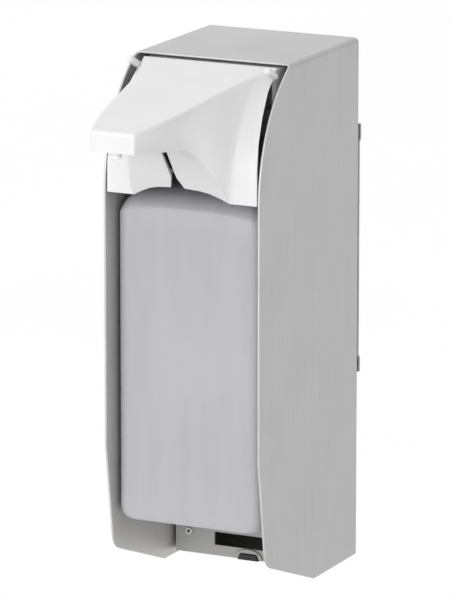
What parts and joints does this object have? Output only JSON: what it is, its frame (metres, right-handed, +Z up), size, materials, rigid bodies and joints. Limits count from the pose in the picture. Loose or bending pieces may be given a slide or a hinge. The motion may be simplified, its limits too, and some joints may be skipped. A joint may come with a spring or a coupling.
{
  "type": "wall mounted soap dispenser",
  "caption": "Wall mounted soap dispenser: bent steel housing on a wall plate, long-nosed white press lever, piston pump and a removable bottle.",
  "frame": {"origin": "on the wall, in the middle of the wall plate's upper band, which rests on it", "axes": "+X along the wall to the right seen from the room, +Y into the wall, +Z up"},
  "size_m": [0.082, 0.187, 0.2597],
  "materials": {
    "brushed_steel": "satin stainless sheet, brushed lengthwise",
    "bracket_steel": "plain satin stainless sheet",
    "plate_steel": "dull rolled sheet, unbrushed",
    "fastener_steel": "bright drawn steel",
    "white_plastic": "glossy white moulding",
    "pump_plastic": "semi-gloss white moulding",
    "bottle_plastic": "milky blow-moulded plastic, soft sheen",
    "clear_plastic": "translucent tubing",
    "rubber": "matt black rubber"
  },
  "bodies": {
    "fixed_frame": {"housing_shell": "brushed_steel", "wall_plate": "plate_steel", "back_panel": "plate_steel", "bottle_bracket": "bracket_steel", "catch_tab": "bracket_steel", "rubber_buffer": "rubber", "rivet_nut_left": "fastener_steel", "rivet_nut_right": "fastener_steel", "bracket_rivet_left": "fastener_steel", "bracket_rivet_right": "fastener_steel", "carrier_rivet_left": "fastener_steel", "carrier_rivet_right": "fastener_steel", "plate_screw_left": "fastener_steel", "plate_screw_right": "fastener_steel", "hinge_block_left": "white_plastic", "hinge_block_right": "white_plastic", "hinge_pin_left": "fastener_steel", "hinge_pin_right": "fastener_steel", "hinge_screw_left": "fastener_steel", "hinge_screw_right": "fastener_steel", "pump_carrier": "plate_steel", "pump_cylinder": "pump_plastic", "pump_gasket": "rubber", "cylinder_cap": "pump_plastic", "ball_cage": "pump_plastic", "dip_tube": "clear_plastic"},
    "lever": {"lever_hood": "white_plastic", "hood_peg_left": "white_plastic", "hood_peg_right": "white_plastic", "spout": "pump_plastic", "spout_seal": "rubber", "nozzle": "pump_plastic"},
    "piston": {"piston_rod": "pump_plastic", "piston_seal": "rubber", "pump_spring": "fastener_steel"},
    "bottle": {"bottle": "bottle_plastic"},
    "inlet_valve": {"inlet_ball": "fastener_steel"}
  },
  "joints": [
    {"name": "lever_press", "type": "hinge", "parent": "fixed_frame", "child": "lever", "pos_m": [0, -0.016, 0.0125], "axis": [1, 0, 0], "range_deg": [0, 6], "stiffness_Nm_per_rad": 3.8, "springref_deg": -7.45},
    {"name": "piston_slide", "type": "slide", "parent": "fixed_frame", "child": "piston", "axis": [0, 0, -1], "range_m": [0, 0.0065], "deforming": ["pump_spring"]},
    {"name": "bottle_tilt", "type": "hinge", "parent": "fixed_frame", "child": "bottle", "pos_m": [0, -0.056, -0.0105], "axis": [-1, 0, 0], "range_deg": [0, 4]},
    {"name": "inlet_ball_lift", "type": "slide", "parent": "fixed_frame", "child": "inlet_valve", "axis": [0, 0, 1], "range_m": [0, 0.0012]}
  ],
  "couplings": [
    {"joint": "piston_slide", "follows": "lever_press", "m_per_rad": 0.0614}
  ]
}
